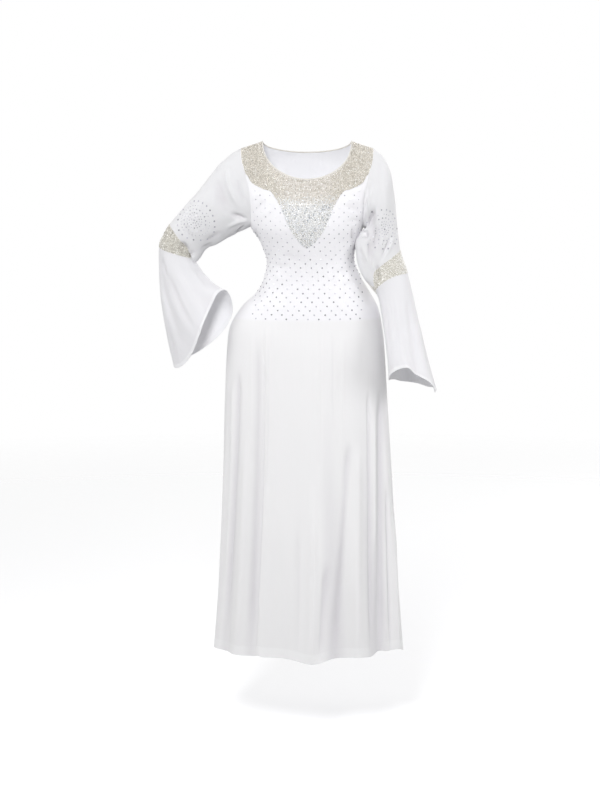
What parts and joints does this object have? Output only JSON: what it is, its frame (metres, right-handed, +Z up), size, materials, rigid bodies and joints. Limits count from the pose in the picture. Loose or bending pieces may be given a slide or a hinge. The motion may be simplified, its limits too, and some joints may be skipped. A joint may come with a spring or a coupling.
{
  "type": "kaftan",
  "caption": "Long white kaftan with a wide scoop neck, stone-covered yoke, stone bands at the elbows and flared bell cuffs, worn with one hand on the hip.",
  "frame": {"origin": "midway between the two shoulder seams at the height where they meet the neck edge, where the wearer's shoulders carry the garment", "axes": "+Z up along the wearer's body, the front of the garment faces -Y, +X points to the wearer's left"},
  "size_m": [0.6915, 0.4145, 1.2815],
  "materials": {
    "crepe": "white matt crepe, slightly sheer",
    "stones": "cloth covered with small glittering champagne and silver stones",
    "binding": "narrow satin binding"
  },
  "bodies": {
    "root": {"front": "crepe", "back": "crepe", "front_yoke": "stones", "neck_binding": "binding", "sleeve_r_upper": "crepe", "sleeve_r_band": "stones", "sleeve_r_bell": "crepe", "sleeve_l_upper": "crepe", "sleeve_l_band": "stones", "sleeve_l_bell": "crepe"}
  },
  "joints": []
}
